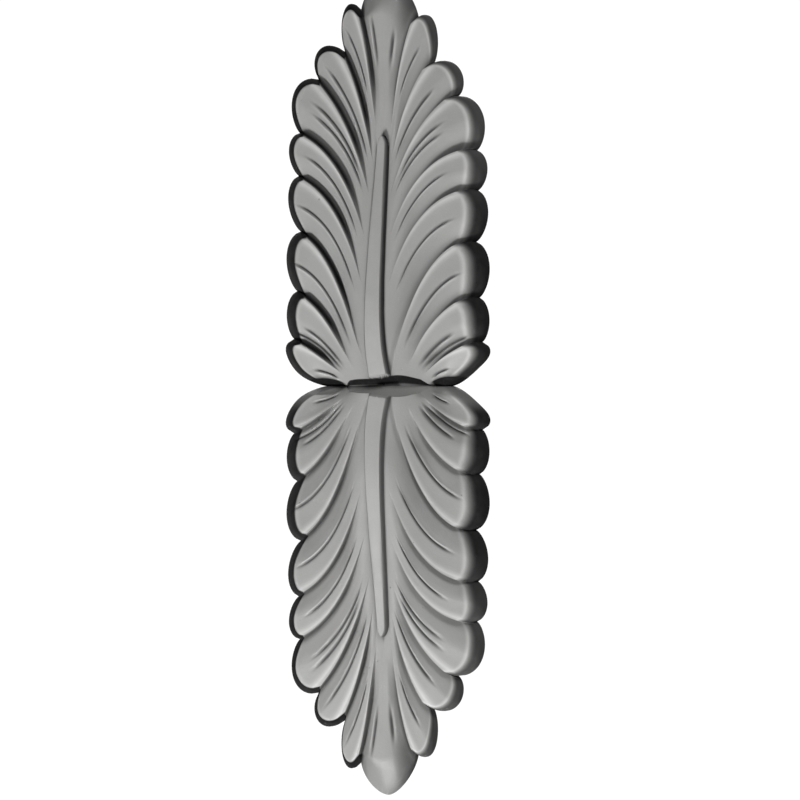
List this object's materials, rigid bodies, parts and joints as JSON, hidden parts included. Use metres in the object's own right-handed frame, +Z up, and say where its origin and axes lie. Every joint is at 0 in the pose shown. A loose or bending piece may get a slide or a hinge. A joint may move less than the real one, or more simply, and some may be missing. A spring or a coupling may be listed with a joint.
{
  "type": "arch keystone ornament",
  "caption": "Carved stone keystone ornament: two mirrored acanthus leaves on a flat back, meeting at a V-cut waist.",
  "frame": {"origin": "middle of the flat back, behind the waist where the two leaves meet", "axes": "+Z up along the leaves, +X across them to the right as seen from the front, +Y out of the back into the wall"},
  "size_m": [0.1097, 0.0255, 0.4084],
  "materials": {
    "stone": "honed grey stone, darker in the recesses"
  },
  "bodies": {
    "root": {"acanthus_keystone": "stone"}
  },
  "joints": []
}
